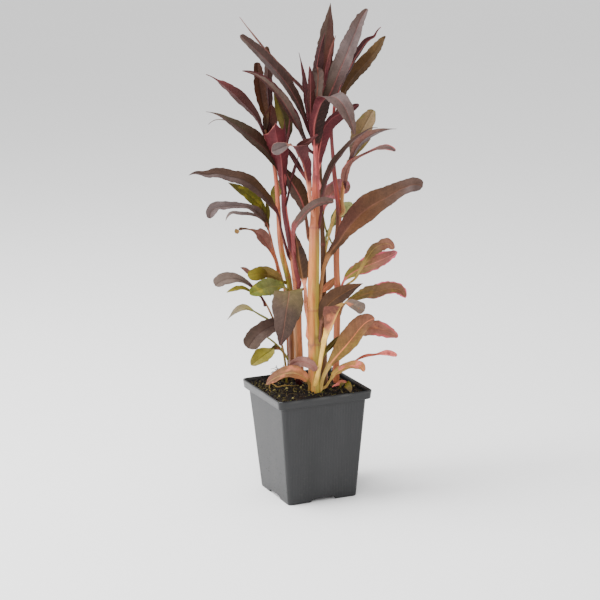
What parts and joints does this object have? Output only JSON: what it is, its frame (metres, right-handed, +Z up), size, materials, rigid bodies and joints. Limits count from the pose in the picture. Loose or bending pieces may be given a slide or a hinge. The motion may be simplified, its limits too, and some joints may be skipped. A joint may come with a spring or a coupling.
{
  "type": "potted cardinal flower plant",
  "caption": "Leafy cardinal flower in a square nursery pot: upright pink stems with lance-shaped bronze, maroon and olive leaves that arch out over the soil.",
  "frame": {"origin": "centre of the pot's foot, on the round pad it stands on", "axes": "+Z up the stems, +X and -Y out through the two faces of the pot that are seen, with +X the side that lies further to the right"},
  "size_m": [0.1925, 0.1267, 0.4465],
  "materials": {
    "pot_black": "satin moulded plastic, anthracite",
    "soil": "loose dark peat with fibres and crumbs",
    "stem_pink": "smooth fleshy stem, salmon pink to maroon",
    "leaf_bronze": "soft satin leaf, grey-brown to purple",
    "leaf_maroon": "soft satin leaf, dark red",
    "leaf_olive": "soft satin leaf, olive green",
    "leaf_coral": "soft satin leaf, coral and pink"
  },
  "bodies": {
    "root": {"pot": "pot_black", "soil": "soil", "main_stem": "stem_pink", "back_stem": "stem_pink", "left_stem_inner": "stem_pink", "left_stem_outer": "stem_pink", "right_stem": "stem_pink", "right_branch": "stem_pink", "thin_shoot": "stem_pink", "green_shoot": "stem_pink", "tan_shoot": "stem_pink", "crown_leaf_folded": "leaf_maroon", "crown_leaf_arching": "leaf_bronze", "crown_leaf_low_right": "leaf_maroon", "crown_leaf_low_left": "leaf_maroon", "crown_leaf_left": "leaf_bronze", "crown_leaf_far_left": "leaf_maroon", "crown_leaf_front": "leaf_maroon", "crown_leaf_right": "leaf_bronze", "crown_leaf_short": "leaf_bronze", "crown_leaf_inner": "leaf_maroon", "crown_leaf_tall": "leaf_bronze", "stem_leaf_dark_left": "leaf_bronze", "stem_leaf_back_left": "leaf_bronze", "stem_leaf_slender": "leaf_bronze", "stem_leaf_great": "leaf_bronze", "stem_leaf_shadow": "leaf_bronze", "base_leaf_folded": "leaf_coral", "base_leaf_broad": "leaf_olive", "base_leaf_peach": "leaf_coral", "base_leaf_coral": "leaf_coral", "left_leaf_arching": "leaf_bronze", "left_leaf_crossing": "leaf_bronze", "left_leaf_spear": "leaf_bronze", "left_leaf_cup": "leaf_maroon", "left_leaf_olive_tip": "leaf_olive", "left_leaf_drooping": "leaf_bronze", "left_leaf_tip_brown": "leaf_olive", "left_leaf_tip_dark": "leaf_maroon", "left_leaf_tip_pointed": "leaf_maroon", "left_leaf_pale": "leaf_olive", "left_leaf_green": "leaf_olive", "left_leaf_low": "leaf_bronze", "shoot_leaf_green": "leaf_olive", "shoot_leaf_curled": "leaf_bronze", "shoot_leaf_twisted": "leaf_bronze", "shoot_leaf_round": "leaf_olive", "shoot_leaf_grey": "leaf_bronze", "shoot_leaf_fading": "leaf_olive", "right_leaf_twisted": "leaf_maroon", "right_leaf_high": "leaf_olive", "right_leaf_striped": "leaf_olive", "right_leaf_tipped": "leaf_olive", "right_leaf_pink": "leaf_coral", "right_leaf_thread": "leaf_coral", "branch_leaf_blunt": "leaf_olive", "branch_leaf_pink": "leaf_maroon", "branch_leaf_curled": "leaf_bronze", "back_leaf_mottled": "leaf_coral", "back_leaf_pale": "leaf_olive"}
  },
  "joints": []
}
